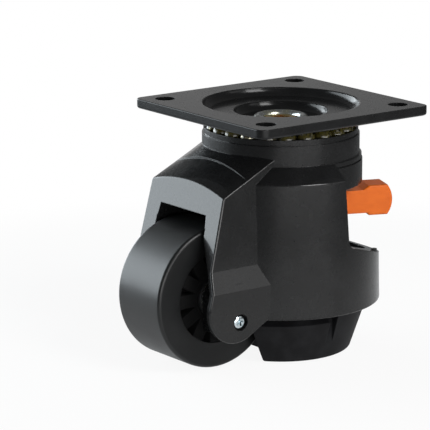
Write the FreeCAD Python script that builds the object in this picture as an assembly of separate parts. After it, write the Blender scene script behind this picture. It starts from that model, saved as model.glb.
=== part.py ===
import FreeCAD, Part
import math
import os

# Levelling castor: swivel plate, wheel and a foot that a ratchet lever screws down.
# Millimetres. Origin: centre of the plate's mounting face, on the swivel axis. +Z is up,
# the wheel is towards -Y, the lever window towards +Y.

# Fits and clearances
RUNNING_FIT = 0.05
FREE_FIT = 0.3
FACE_GAP = 0.15

# Swivel plate
plate_side = 73.0
plate_thickness = 3.4
plate_corner_radius = 3.2
plate_top_round = 0.3
plate_low_round = 0.9
hole_inset = 7.9
hole_radius = 3.5
dish_depth = 2.8
dish_step_depth = 2.8
dish_step_rim_radius = 16.6
dish_rim_beyond_balls = 4.5
dish_wall_run = 2.6
dish_lip_radius = 0.5
dish_sag_across = 0.62
dish_sag_down = 0.78
dish_under_shift = 0.35

# Ball races
upper_ball_radius = 3.175
upper_ball_land = 6.4
upper_ball_count = 22
lower_ball_radius = 2.0
lower_ball_land = 1.1
lower_ball_count = 20
race_depth = 0.8
lower_race_depth = 0.6
lower_race_thickness = 2.2

# Hollow rivet
rivet_wall = 2.1
rivet_ring_lip = 1.2
rivet_ring_height = 1.3

# Casting: head
cup_floor_drop = 1.725
head_rim_land = 1.125
head_rim_wall = 0.5
head_rim_height = 2.0
head_height = 7.1
head_bead_overhang = 0.7
head_bead_height = 1.5
head_groove_depth = 0.35
head_skirt_overhang = 1.0
head_skirt_height = 9.9
web_thickness = 5.1
race_chamber_gap = 1.1

# Casting: barrel
barrel_wall = 4.0
barrel_bore_draft = 3.7
barrel_flare = 0.95
barrel_shoulder_height = 5.0
barrel_below_axle = 7.6
window_top_y = 1.2
window_low_y = 3.0
window_below_lever = 3.0
window_corner = 3.4
window_slope = 17.2
pip_radius = 1.1
pip_height = 0.7
pip_angle = 45.0

# Casting: hood and ears
hood_overhang = 8.4
hood_draft = 2.2
hood_back_y = -14.0
crease_above_step = 1.2
crease_behind_axle = 6.2
crown_height = 4.3
roof_front_slope = 31.3
roof_back_slope = 36.0
roof_side_slope = 25.6
roof_step_depth = 0.6
face_before_axle = 3.8
face_below_step = 7.6
face_height = 7.0
face_lean = 13.7
slot_side_gap = 0.9
slot_flare = 1.3
slot_flare_height = 8.2
ear_crease_rise = 11.9
ear_flare_rise = 4.9
ear_overhang = 13.0
ear_wall = 2.1
ear_before_axle = 1.6
ear_below_axle = 1.9
ear_tail_angle = 300.0
pocket_behind_axle = 9.3
edge_round = 0.6

# Wheel
wheel_radius = 24.6
wheel_half_width = 12.0
wheel_shoulder = 1.2
wheel_tread_depth = 8.8
wheel_recess_depth = 5.0
wheel_hub_wall = 2.15
wheel_rib_count = 12
wheel_rib_width = 4.6
wheel_rib_drop = 1.2
wheel_top_gap = 4.8
axle_radius = 4.5
axle_overhang = 7.5
bush_wall = 1.5
bush_middle_gap = 2.0
bush_flange_width = 1.35
bush_flange = 1.0
washer_thickness = 1.0
washer_width = 2.5
well_gap = 1.4
well_wall = 1.9
well_side_gap = 1.9
well_behind_screw = 4.3
well_behind_lever = 0.96
well_behind_retainer = 1.0

# Axle hanger and its lock screws
hanger_wall = 2.7
hanger_below_axle = 10.1
lock_screw_radius = 1.5
lock_head_radius = 2.35
lock_head_height = 1.8
lock_counterbore_gap = 0.55
lock_head_recess = 0.4
lock_point_gap = 1.1

# Foot screw and nut
screw_radius = 6.0
screw_above_dish = 0.2
screw_socket_flats = 6.0
screw_socket_depth = 5.0
nut_wall = 4.8
nut_lower_step = 0.4
nut_tail_step = 1.5
nut_tail_length = 2.3
thrust_washer_seat = 3.9
thrust_washer_bore_gap = 2.0
thrust_washer_thickness = 1.8

# Ratchet gear and lever
gear_rim = 1.4
gear_tooth_depth = 1.2
gear_teeth = 24
gear_tip_half_angle = 2.4
gear_root_half_angle = 4.2
gear_height = 5.5
lever_rest_angle = -21.5
lever_below_head = 4.7
lever_ring_wall = 3.5
lever_skin = 1.2
arm_half_width = 5.1
head_start = 30.9
head_length = 6.7
head_bulge = 1.8
head_rise = 1.45
head_drop = 1.0
head_ramp = 2.3
housing_wall = 1.6
housing_side = 4.1
housing_taper = 5.1
cover_thickness = 1.2
cover_screw_radius = 1.0
cover_screw_head_radius = 1.8
cover_screw_length = 5.0
cover_screw_angles = (210.0, 330.0)

# Pawl
pawl_gap = 1.7
pawl_swing = 14.0
pawl_hub_radius = 2.8
pawl_tooth_half_tip = 0.4
pawl_tooth_half_base = 1.3
pawl_tooth_depth = 1.65
pawl_tooth_clearance = 0.35
pawl_bar_half_width = 1.35
pawl_pin_radius = 1.5
detent_notch_share = 0.75
selector_thickness = 2.0
selector_hub_radius = 3.2
selector_reach = 2.6
selector_half_width = 2.2
plunger_radius = 1.4
plunger_length = 3.5
detent_spring_length = 4.4
detent_wire_radius = 0.22
detent_coils = 6

# Retaining plate and its posts
lever_post_gap = 4.0
post_radius = 3.4
outer_post_angle = -14.0
retainer_width = 6.9
retainer_thickness = 2.0
retainer_front_land = 3.7
retainer_screw_radius = 1.5
retainer_screw_head_radius = 2.7
retainer_screw_head_height = 1.9
retainer_screw_length = 8.0

# Foot
foot_below_wheel = 0.5
pad_side_gap = 0.4
pad_taper = 0.338
pad_bottom_round = 1.4
pad_front_gap = 1.7
pad_lip_height = 1.9
pad_shoulder = 3.0
pad_skirt_height = 10.5
pad_skirt_wall = 6.0
pad_notch_side_gap = 3.2
pad_notch_behind_wheel = 0.8
pad_recess_depth = 1.0
key_y = 0.6
key_width = 2.4
key_depth = 0.6
key_above_skirt = 1.5
keyway_gap = 0.3
foot_plate_side_gap = 0.7
foot_plate_thickness = 2.5
foot_plate_notch_gap = 2.4
rivet_end_wall = 1.4
rivet_end_height = 1.2
sole_groove_width = 1.6
sole_groove_depth = 0.9
sole_groove_first = 12.0
sole_groove_step = 4.5
sole_groove_count = 2

# Radii of the swivel stack, from the foot screw outwards
rivet_bore_radius = screw_radius + FREE_FIT
rivet_radius = rivet_bore_radius + rivet_wall
rivet_ring_radius = rivet_radius + rivet_ring_lip
rivet_foot_radius = rivet_ring_radius + rivet_ring_lip
rivet_shoulder_radius = rivet_ring_radius + 2 * RUNNING_FIT
head_bore_radius = rivet_shoulder_radius + 2 * FREE_FIT
lower_ball_circle = head_bore_radius + lower_ball_radius + lower_ball_land
lower_race_radius = lower_ball_circle + lower_ball_radius + lower_ball_land
race_chamber_radius = lower_race_radius + race_chamber_gap
thrust_washer_radius = race_chamber_radius + thrust_washer_seat
thrust_washer_bore = screw_radius + thrust_washer_bore_gap
upper_ball_circle = dish_step_rim_radius + upper_ball_land
dish_rim_radius = upper_ball_circle + dish_rim_beyond_balls
head_cup_radius = upper_ball_circle + upper_ball_radius
head_radius = head_cup_radius + head_rim_land
head_bead_radius = head_radius + head_bead_overhang
head_skirt_radius = head_radius + head_skirt_overhang

# Radii of the nut, the lever and the barrel round them
nut_journal_radius = screw_radius + nut_wall
nut_lower_journal_radius = nut_journal_radius - nut_lower_step
nut_tail_radius = nut_lower_journal_radius - nut_tail_step
gear_root_radius = nut_journal_radius + gear_rim
gear_tip_radius = gear_root_radius + gear_tooth_depth
gear_room_radius = gear_tip_radius + FREE_FIT
lever_ring_radius = gear_room_radius + lever_ring_wall
cover_screw_circle = gear_room_radius + lever_ring_wall / 2
pawl_pivot = gear_tip_radius + pawl_gap + pawl_hub_radius
housing_half_width = arm_half_width + housing_side
housing_end = pawl_pivot + pawl_hub_radius + FREE_FIT + housing_wall
housing_shoulder = housing_end - housing_taper
head_end = head_start + head_length
retainer_radius = nut_tail_radius + retainer_width
post_circle = lever_ring_radius + lever_post_gap + post_radius
bore_high_radius = post_circle + post_radius

# Heights of the swivel stack, from the plate down
dish_floor_z = -dish_depth
dish_step_z = dish_floor_z - dish_step_depth
dish_under_z = dish_floor_z - plate_thickness
dish_step_under_z = dish_step_z - plate_thickness
upper_ball_z = dish_under_z + race_depth - upper_ball_radius
cup_floor_z = upper_ball_z - cup_floor_drop
web_under_z = cup_floor_z - web_thickness
lower_ball_z = web_under_z + lower_race_depth - lower_ball_radius
lower_race_top_z = lower_ball_z - lower_ball_radius + lower_race_depth
lower_race_bottom_z = lower_race_top_z - lower_race_thickness
rivet_foot_z = lower_race_bottom_z - rivet_ring_height
head_step_z = cup_floor_z - head_height
head_bottom_z = head_step_z - head_skirt_height
barrel_shoulder_z = head_step_z - barrel_shoulder_height
thrust_top_z = head_bottom_z + thrust_washer_thickness + FACE_GAP
screw_top_z = dish_step_z + screw_above_dish

# Heights of the nut and lever stack
lever_top_z = head_bottom_z - lever_below_head
arm_height = lever_skin + gear_height + cover_thickness + 2 * FACE_GAP
lever_bottom_z = lever_top_z - arm_height
cover_top_z = lever_bottom_z + cover_thickness
gear_top_z = lever_top_z - lever_skin - FACE_GAP
gear_bottom_z = gear_top_z - gear_height
nut_top_z = thrust_top_z - thrust_washer_thickness - FACE_GAP
retainer_top_z = lever_bottom_z - selector_thickness - 2 * FACE_GAP - 2 * FREE_FIT
retainer_bottom_z = retainer_top_z - retainer_thickness
nut_shoulder_z = retainer_top_z + FACE_GAP
nut_bottom_z = nut_shoulder_z - nut_tail_length
pawl_top_z = gear_top_z - FACE_GAP
pawl_thickness = gear_height - FREE_FIT
selector_top_z = lever_bottom_z - FACE_GAP
window_low_z = lever_bottom_z - window_below_lever

# Place of the wheel, which hangs under the hood and in front of the foot screw
face_z = head_step_z - face_below_step
slot_top_z = face_z - face_height
slot_low_z = slot_top_z - slot_flare_height
axle_z = slot_top_z - wheel_top_gap - wheel_radius
well_radius = wheel_radius + well_gap
well_block_radius = well_radius + well_wall
well_reach_at_lever = math.sqrt(well_block_radius ** 2 - (lever_bottom_z - axle_z) ** 2)
well_reach_at_retainer = math.sqrt(well_block_radius ** 2 - (retainer_bottom_z - axle_z) ** 2)
axle_behind_screw = screw_radius + well_behind_screw + well_radius
axle_behind_lever = lever_ring_radius + well_behind_lever + well_reach_at_lever
retainer_front_y = -nut_tail_radius - retainer_front_land
axle_behind_retainer = -retainer_front_y + well_behind_retainer + well_reach_at_retainer
axle_y = -max(axle_behind_screw, axle_behind_lever, axle_behind_retainer)
well_back_y = axle_y + well_radius
well_half_width = wheel_half_width + well_side_gap
well_block_half_width = well_half_width + well_wall
bush_bore_radius = axle_radius + RUNNING_FIT
bush_radius = bush_bore_radius + bush_wall
bush_flange_radius = bush_radius + bush_flange_width
wheel_hub_radius = bush_radius + wheel_hub_wall
wheel_recess_radius = wheel_radius - wheel_tread_depth
washer_radius = axle_radius + washer_width
axle_half_length = wheel_half_width + axle_overhang
hanger_radius = axle_radius + hanger_wall
hanger_bottom_z = axle_z - hanger_below_axle
hanger_face_x = wheel_half_width + washer_thickness + 2 * FACE_GAP
lock_screw_z = axle_z - axle_radius - lock_screw_radius - 2 * RUNNING_FIT
lock_point_x = hanger_face_x + lock_point_gap
lock_counterbore_radius = lock_head_radius + lock_counterbore_gap
inner_post_x = well_block_half_width + post_radius + FREE_FIT
inner_post_y = -math.sqrt(post_circle ** 2 - inner_post_x ** 2)

# Places of the hood, the ears and the barrel
hood_half_width = wheel_half_width + hood_overhang
crease_y = axle_y + crease_behind_axle
crease_crown_z = head_step_z + crease_above_step
crease_side_z = crease_crown_z - crown_height
face_y = axle_y - face_before_axle
slot_top_half_width = wheel_half_width + slot_side_gap
slot_low_half_width = slot_top_half_width + slot_flare
ear_crease_z = axle_z + ear_crease_rise
ear_flare_z = axle_z + ear_flare_rise
ear_outer_x = wheel_half_width + ear_overhang
ear_centre_y = axle_y - ear_before_axle
ear_centre_z = axle_z - ear_below_axle
pocket_back_y = axle_y + pocket_behind_axle
barrel_bottom_z = axle_z - barrel_below_axle
bore_height = head_bottom_z - barrel_bottom_z
bore_low_radius = bore_high_radius + bore_height * math.tan(math.radians(barrel_bore_draft))
barrel_bottom_radius = bore_low_radius + barrel_wall
barrel_top_radius = barrel_bottom_radius - barrel_flare

# Places of the foot
ground_z = axle_z - wheel_radius - foot_below_wheel
pad_radius = bore_low_radius - pad_side_gap
pad_front_z = barrel_bottom_z - pad_front_gap
pad_skirt_radius = pad_radius - pad_shoulder
pad_skirt_z = barrel_bottom_z + pad_skirt_height
pad_cup_radius = pad_skirt_radius - pad_skirt_wall
pad_notch_half_width = wheel_half_width + pad_notch_side_gap
pad_notch_y = well_back_y + pad_notch_behind_wheel
pad_recess_z = pad_front_z - pad_recess_depth
key_reach_x = pad_skirt_radius - key_depth
key_top_z = pad_skirt_z + key_above_skirt
foot_plate_radius = pad_cup_radius - foot_plate_side_gap
foot_plate_top_z = pad_recess_z + foot_plate_thickness
rivet_end_radius = screw_radius - rivet_end_wall


# Small geometry helpers

def vec(x, y, z):
    return FreeCAD.Vector(x, y, z)


ORIGIN = vec(0, 0, 0)
X_AXIS = vec(1, 0, 0)
Y_AXIS = vec(0, 1, 0)
Z_AXIS = vec(0, 0, 1)


def cylinder_z(radius, z_low, z_high, x=0.0, y=0.0):
    return Part.makeCylinder(radius, z_high - z_low, vec(x, y, z_low), Z_AXIS)


def cylinder_x(radius, x_low, x_high, y, z):
    return Part.makeCylinder(radius, x_high - x_low, vec(x_low, y, z), X_AXIS)


def cylinder_y(radius, y_low, y_high, x, z):
    return Part.makeCylinder(radius, y_high - y_low, vec(x, y_low, z), Y_AXIS)


def block(low, high):
    size = high - low
    return Part.makeBox(size.x, size.y, size.z, low)


def polygon_face(points):
    return Part.Face(Part.makePolygon(points + [points[0]]))


def prism_x(profile, x_low, x_high):
    """Extrude (y, z) points along X."""
    face = polygon_face([vec(x_low, y, z) for y, z in profile])
    return face.extrude(vec(x_high - x_low, 0, 0))


def prism_y(profile, y_low, y_high):
    """Extrude (x, z) points along Y."""
    face = polygon_face([vec(x, y_low, z) for x, z in profile])
    return face.extrude(vec(0, y_high - y_low, 0))


def prism_z(profile, z_low, z_high):
    """Extrude (x, y) points along Z."""
    face = polygon_face([vec(x, y, z_low) for x, y in profile])
    return face.extrude(vec(0, 0, z_high - z_low))


def turned(profile):
    """Revolve (radius, z) points about the swivel axis."""
    face = polygon_face([vec(r, 0, z) for r, z in profile])
    return face.revolve(ORIGIN, Z_AXIS, 360)


def turned_about_x(profile, y, z):
    """Revolve (x, radius) points about a line along X through (y, z)."""
    face = polygon_face([vec(x, y, z + r) for x, r in profile])
    return face.revolve(vec(0, y, z), X_AXIS, 360)


def swung(shape, angle, x=0.0, y=0.0):
    """A copy turned by angle degrees about a vertical line."""
    copy = shape.copy()
    copy.rotate(vec(x, y, 0), Z_AXIS, angle)
    return copy


def mirrored_x(shape):
    return shape.mirror(ORIGIN, X_AXIS)


def both_sides(shape):
    return shape.fuse(mirrored_x(shape))


def fused(shapes):
    return shapes[0].multiFuse(shapes[1:]).removeSplitter()


def on_lever(shape):
    """Turn a shape built with its arm along +Y to the lever's rest angle."""
    return swung(shape, lever_rest_angle)


def polar(radius, angle):
    return (radius * math.cos(math.radians(angle)), radius * math.sin(math.radians(angle)))


def arc_edge(start, middle, end):
    return Part.Arc(start, middle, end).toShape()


def line_edge(start, end):
    return Part.makeLine(start, end)


# Swivel plate

def dish_wall(rim_radius, top_z, depth, run):
    """Curved wall of one dish step as (radius, z) edges, from its rim to its floor."""
    rim = vec(rim_radius, 0, top_z)
    lip = vec(rim_radius - dish_lip_radius, 0, top_z - dish_lip_radius)
    sag = vec(rim_radius - dish_sag_across * run, 0, top_z - dish_sag_down * depth)
    floor = vec(rim_radius - run - dish_lip_radius, 0, top_z - depth)
    rounded = (1 - math.sqrt(0.5)) * dish_lip_radius
    lip_middle = vec(rim_radius - dish_lip_radius + rounded, 0, top_z - rounded)
    return [arc_edge(rim, lip_middle, lip), arc_edge(lip, sag, floor)]


def dish_profile():
    """Closed section of the pressed dish: its upper face, and the same face one thickness down."""
    outer = dish_wall(dish_rim_radius, 0, dish_depth, dish_wall_run)
    inner = dish_wall(dish_step_rim_radius, dish_floor_z, dish_step_depth, dish_wall_run)
    outer_end = dish_rim_radius - dish_wall_run - dish_lip_radius
    inner_end = dish_step_rim_radius - dish_wall_run - dish_lip_radius
    edge_radius = dish_rim_radius + plate_thickness / 2
    flat = line_edge(vec(outer_end, 0, dish_floor_z), vec(dish_step_rim_radius, 0, dish_floor_z))
    floor = line_edge(vec(inner_end, 0, dish_step_z), vec(rivet_radius, 0, dish_step_z))
    top = [line_edge(vec(edge_radius, 0, 0), vec(dish_rim_radius, 0, 0))] + outer + [flat] + inner + [floor]
    spread = dish_under_shift * plate_thickness
    lowered = [edge.translated(vec(spread, 0, -plate_thickness)) for edge in outer + [flat] + inner]
    under_outer = line_edge(vec(edge_radius, 0, -plate_thickness),
                            vec(dish_rim_radius + spread, 0, -plate_thickness))
    under_floor = line_edge(vec(inner_end + spread, 0, dish_step_under_z),
                            vec(rivet_radius, 0, dish_step_under_z))
    bore = line_edge(vec(rivet_radius, 0, dish_step_z), vec(rivet_radius, 0, dish_step_under_z))
    edge = line_edge(vec(edge_radius, 0, 0), vec(edge_radius, 0, -plate_thickness))
    edges = top + [bore, under_floor] + lowered + [under_outer, edge]
    return Part.Face(Part.Wire(Part.__sortEdges__(edges)))


def race_groove(ball_radius, circle_radius, z):
    """Ring-shaped cutter that leaves a ball its running clearance."""
    return Part.makeTorus(circle_radius, ball_radius + RUNNING_FIT, vec(0, 0, z), Z_AXIS)


def flat_edges(shape, z):
    """Edges of a shape that lie flat at height z."""
    return [edge for edge in shape.Edges
            if abs(edge.BoundBox.ZMin - z) < RUNNING_FIT and abs(edge.BoundBox.ZMax - z) < RUNNING_FIT]


def make_top_plate():
    half = plate_side / 2
    blank = block(vec(-half, -half, -plate_thickness), vec(half, half, 0))
    corners = [edge for edge in blank.Edges if abs(edge.Vertexes[0].Z - edge.Vertexes[1].Z) > plate_thickness / 2]
    blank = blank.makeFillet(plate_corner_radius, corners)
    blank = blank.makeFillet(plate_low_round, flat_edges(blank, -plate_thickness))
    blank = blank.makeFillet(plate_top_round, flat_edges(blank, 0))
    blank = blank.cut(cylinder_z(dish_rim_radius + plate_thickness / 2, -plate_thickness, 0))
    dish = dish_profile().revolve(ORIGIN, Z_AXIS, 360)
    plate = fused([blank, dish])
    place = half - hole_inset
    for x in (-place, place):
        for y in (-place, place):
            plate = plate.cut(cylinder_z(hole_radius, -plate_thickness, 0, x, y))
    return plate.cut(race_groove(upper_ball_radius, upper_ball_circle, upper_ball_z))


def make_king_rivet():
    """Hollow rivet with a domed, rolled ring in the dish."""
    points = [
        (rivet_ring_radius, dish_step_z),
        (rivet_radius, dish_step_z),
        (rivet_radius, dish_step_under_z),
        (rivet_shoulder_radius, dish_step_under_z),
        (rivet_shoulder_radius, lower_race_top_z),
        (rivet_radius, lower_race_top_z),
        (rivet_radius, lower_race_bottom_z),
        (rivet_foot_radius, lower_race_bottom_z),
        (rivet_foot_radius, rivet_foot_z),
        (rivet_bore_radius, rivet_foot_z),
        (rivet_bore_radius, dish_step_z),
    ]
    chain = [vec(radius, 0, z) for radius, z in points]
    crown = vec((rivet_bore_radius + rivet_ring_radius) / 2, 0, dish_step_z + rivet_ring_height)
    edges = [line_edge(a, b) for a, b in zip(chain, chain[1:])] + [arc_edge(chain[-1], crown, chain[0])]
    return Part.Face(Part.Wire(edges)).revolve(ORIGIN, Z_AXIS, 360)


def make_lower_race():
    ring = cylinder_z(lower_race_radius, lower_race_bottom_z, lower_race_top_z)
    ring = ring.cut(cylinder_z(rivet_radius, lower_race_bottom_z, lower_race_top_z))
    return ring.cut(race_groove(lower_ball_radius, lower_ball_circle, lower_ball_z))


def ball_row(ball_radius, circle_radius, z, count):
    balls = []
    for index in range(count):
        x, y = polar(circle_radius, index * 360.0 / count)
        balls.append(Part.makeSphere(ball_radius, vec(x, y, z)))
    return Part.makeCompound(balls)


# Casting

def side_half_width(z):
    """Half width of the hood at height z, with its draft."""
    return hood_half_width + (crease_side_z - z) * math.tan(math.radians(hood_draft))


def front_y(z):
    """Place of the leaning front face at height z."""
    return face_y + (z - face_z) * math.tan(math.radians(face_lean))


def roof_crown_z(y):
    slope = roof_back_slope if y > crease_y else roof_front_slope
    return crease_crown_z + (y - crease_y) * math.tan(math.radians(slope))


def roof_side_z(y):
    return crease_side_z + (y - crease_y) * math.tan(math.radians(roof_side_slope))


def hood_section(y, drop):
    """Outline of the hood across the castor at y, with its crowned roof lowered by drop at the middle."""
    bottom_z = ear_centre_z
    side_z = roof_side_z(y)
    left_top = vec(-side_half_width(side_z), y, side_z)
    right_top = vec(side_half_width(side_z), y, side_z)
    left_low = vec(-side_half_width(bottom_z), y, bottom_z)
    right_low = vec(side_half_width(bottom_z), y, bottom_z)
    crown = vec(0, y, roof_crown_z(y) - drop)
    edges = [
        line_edge(left_low, left_top),
        arc_edge(left_top, crown, right_top),
        line_edge(right_top, right_low),
        line_edge(right_low, left_low),
    ]
    return Part.Wire(edges)


def cheek_outline(back_y):
    """Side view of hood and ear: leaning front, round ear, rising tail."""
    lean = math.radians(face_lean)
    ear_round = (ear_centre_y - front_y(ear_centre_z)) * math.cos(lean)
    front_top = vec(0, front_y(0), 0)
    start = 180.0 - face_lean
    middle = (start + ear_tail_angle) / 2

    def on_round(angle):
        dy, dz = polar(ear_round, angle)
        return vec(0, ear_centre_y + dy, ear_centre_z + dz)

    tail_start = on_round(ear_tail_angle)
    tail_rise = math.tan(math.radians(ear_tail_angle - 270.0))
    tail_end = vec(0, back_y, tail_start.z + (back_y - tail_start.y) * tail_rise)
    back_top = vec(0, back_y, 0)
    edges = [
        line_edge(front_top, on_round(start)),
        arc_edge(on_round(start), on_round(middle), tail_start),
        line_edge(tail_start, tail_end),
        line_edge(tail_end, back_top),
        line_edge(back_top, front_top),
    ]
    return Part.Face(Part.Wire(edges))


def make_hood():
    """Hood and cheeks: one loft with a crowned roof, cut to its side view."""
    deep_y = front_y(ear_centre_z) - wheel_radius
    front = Part.makeLoft([hood_section(crease_y, roof_step_depth), hood_section(deep_y, 0)], True, True)
    back = Part.makeLoft([hood_section(hood_back_y, 0), hood_section(crease_y, 0)], True, True)
    reach = ear_outer_x + ear_wall
    side_view = cheek_outline(hood_back_y).translated(vec(-reach, 0, 0)).extrude(vec(2 * reach, 0, 0))
    ears = prism_y(ear_section(ear_outer_x), deep_y, hood_back_y)
    hood = fused([front, back, ears, mirrored_x(ears)]).common(side_view)
    return hood.makeFillet(edge_round, hood_rims(hood))


def hood_rims(hood):
    """Outer edges of hood and ears: both side contours and the roof's front edge."""
    rims = []
    for edge in hood.Edges:
        first = edge.Vertexes[0].Point
        last = edge.Vertexes[-1].Point
        outside = min(abs(first.x), abs(last.x)) > slot_low_half_width
        sloping = abs(first.y - last.y) > RUNNING_FIT and abs(first.z - last.z) > RUNNING_FIT
        brow = edge.BoundBox.ZMin > slot_top_z and edge.BoundBox.YMax < crease_y - RUNNING_FIT
        if outside and (sloping or brow):
            rims.append(edge)
    return rims


def ear_section(outer_x):
    """Section of one flared ear across the castor, out to outer_x."""
    crease_x = side_half_width(ear_crease_z) - (ear_outer_x - outer_x)
    low_z = ear_centre_z - wheel_radius
    return [(slot_top_half_width, ear_crease_z), (crease_x, ear_crease_z), (outer_x, ear_flare_z),
            (outer_x, low_z), (slot_top_half_width, low_z)]


def window_outline():
    """Side view of what is cut away behind the barrel, with a round inner corner and a sloping sill."""
    slope = math.tan(math.radians(window_slope))
    far_y = barrel_bottom_radius + window_corner
    sill_start_y = window_low_y + window_corner
    sill_start_z = window_low_z - window_corner
    corner_in = (1 - math.sqrt(0.5)) * window_corner
    top = vec(0, window_top_y, head_step_z)
    low = vec(0, window_low_y, window_low_z)
    middle = vec(0, window_low_y + corner_in, sill_start_z + corner_in)
    sill = vec(0, sill_start_y, sill_start_z)
    sill_end = vec(0, far_y, sill_start_z - (far_y - sill_start_y) * slope)
    far_top = vec(0, far_y, head_step_z)
    edges = [line_edge(top, low), arc_edge(low, middle, sill), line_edge(sill, sill_end),
             line_edge(sill_end, far_top), line_edge(far_top, top)]
    return Part.Face(Part.Wire(edges))


def sill_z(y):
    """Height of the window's sloping sill."""
    start_y = window_low_y + window_corner
    return window_low_z - window_corner - (y - start_y) * math.tan(math.radians(window_slope))


def make_barrel():
    profile = [
        (0, head_step_z),
        (head_skirt_radius, head_step_z),
        (barrel_top_radius, barrel_shoulder_z),
        (barrel_bottom_radius, barrel_bottom_z),
        (0, barrel_bottom_z),
    ]
    barrel = turned(profile)
    rims = flat_edges(barrel, barrel_shoulder_z) + flat_edges(barrel, barrel_bottom_z)
    barrel = barrel.makeFillet(edge_round, rims)
    reach = barrel_bottom_radius + barrel_wall
    window = window_outline().translated(vec(-reach, 0, 0)).extrude(vec(2 * reach, 0, 0))
    return barrel.cut(window)


def make_head():
    rim_radius = head_radius - head_rim_wall
    bead_low_z = head_step_z - head_bead_height
    profile = [
        (0, cup_floor_z),
        (head_cup_radius, cup_floor_z),
        (head_cup_radius, cup_floor_z + head_rim_height),
        (rim_radius, cup_floor_z + head_rim_height),
        (rim_radius, cup_floor_z),
        (head_radius, cup_floor_z),
        (head_radius, head_step_z),
        (head_bead_radius, head_step_z),
        (head_bead_radius, bead_low_z),
        (head_bead_radius - head_groove_depth, bead_low_z),
        (head_bead_radius - head_groove_depth, bead_low_z - head_groove_depth),
        (head_skirt_radius, bead_low_z - head_groove_depth),
        (head_skirt_radius, head_bottom_z),
        (0, head_bottom_z),
    ]
    return turned(profile)


def head_chamber():
    """Bores of the head: rivet hole, race chamber and thrust washer seat."""
    bore = cylinder_z(head_bore_radius, head_bottom_z, cup_floor_z)
    chamber = cylinder_z(race_chamber_radius, head_bottom_z, web_under_z)
    seat = cylinder_z(thrust_washer_radius + RUNNING_FIT, head_bottom_z, thrust_top_z)
    return fused([bore, chamber, seat])


def wheel_well(radius, half_width):
    """Room for the wheel: a round back about the axle, open downwards and forwards."""
    depth = wheel_radius + ear_outer_x
    round_back = cylinder_x(radius, -half_width, half_width, axle_y, axle_z)
    below = block(vec(-half_width, axle_y - radius, axle_z - depth), vec(half_width, axle_y + radius, axle_z))
    return round_back.fuse(below)


def ear_pockets():
    """Hollow between the cheeks in front of the barrel, wider inside the ears."""
    low_z = ear_centre_z - wheel_radius
    inner_x = ear_outer_x - ear_wall
    flare_x = side_half_width(ear_crease_z) - ear_wall
    half = [
        (slot_top_half_width, slot_top_z),
        (slot_low_half_width, slot_low_z),
        (flare_x, ear_crease_z),
        (inner_x, ear_flare_z),
        (inner_x, low_z),
    ]
    outline = half + [(-x, z) for x, z in reversed(half)]
    return prism_y(outline, axle_y - wheel_radius, pocket_back_y)


def axle_hanger():
    """Right-hand hanger: a round-topped lug with a slot that is open downwards."""
    outer_x = ear_outer_x - ear_wall / 2
    lug = cylinder_x(hanger_radius, hanger_face_x, outer_x, axle_y, axle_z)
    legs = block(vec(hanger_face_x, axle_y - hanger_radius, hanger_bottom_z),
                 vec(outer_x, axle_y + hanger_radius, axle_z))
    return lug.fuse(legs)


def axle_slot():
    slot_end = axle_half_length + FACE_GAP
    half = axle_radius + RUNNING_FIT
    seat = cylinder_x(half, hanger_face_x, slot_end, axle_y, axle_z)
    mouth = block(vec(hanger_face_x, axle_y - half, hanger_bottom_z), vec(slot_end, axle_y + half, axle_z))
    return seat.fuse(mouth)


def lock_screw_hole():
    floor_x = ear_outer_x - lock_head_recess - lock_head_height
    shank = cylinder_x(lock_screw_radius + RUNNING_FIT, lock_point_x, floor_x, axle_y, lock_screw_z)
    seat = cylinder_x(lock_counterbore_radius, floor_x, ear_outer_x, axle_y, lock_screw_z)
    return shank.fuse(seat)


def retainer_posts():
    """Centres of the four posts that carry the retaining plate."""
    right = [polar(post_circle, outer_post_angle), (inner_post_x, inner_post_y)]
    return right + [(-x, y) for x, y in right]


def guide_key():
    """Right-hand upright key on the bore wall, which stops the foot from turning."""
    return block(vec(key_reach_x, key_y - key_width / 2, barrel_bottom_z),
                 vec(barrel_bottom_radius, key_y + key_width / 2, key_top_z))


def sill_pips():
    """Two small raised pips on the window's sill."""
    middle_radius = barrel_bottom_radius - barrel_wall / 2
    x, y = polar(middle_radius, pip_angle)
    pip = cylinder_z(pip_radius, sill_z(y) - pip_radius, sill_z(y) + pip_height, x, y)
    return both_sides(pip)


def make_swivel_body():
    outside = fused([make_barrel(), make_hood(), make_head(), sill_pips()])
    cavity = Part.makeCone(bore_low_radius, bore_high_radius, bore_height, vec(0, 0, barrel_bottom_z), Z_AXIS)
    cavity = cavity.cut(wheel_well(well_block_radius, well_block_half_width))
    for x, y in retainer_posts():
        cavity = cavity.cut(cylinder_z(post_radius, retainer_top_z, head_bottom_z, x, y))
    cavity = cavity.cut(both_sides(guide_key()))
    cup = cylinder_z(head_cup_radius, cup_floor_z, 0)
    body = outside.cut(cavity).cut(cup).cut(head_chamber())
    body = body.cut(wheel_well(well_radius, well_half_width)).cut(ear_pockets())
    body = fused([body, axle_hanger(), mirrored_x(axle_hanger())])
    body = body.cut(both_sides(axle_slot())).cut(both_sides(lock_screw_hole()))
    for x, y in retainer_posts():
        top_z = retainer_top_z + retainer_screw_length
        body = body.cut(cylinder_z(retainer_screw_radius + RUNNING_FIT, retainer_top_z, top_z, x, y))
    body = body.cut(race_groove(upper_ball_radius, upper_ball_circle, upper_ball_z))
    return body.cut(race_groove(lower_ball_radius, lower_ball_circle, lower_ball_z))


# Wheel and axle

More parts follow.
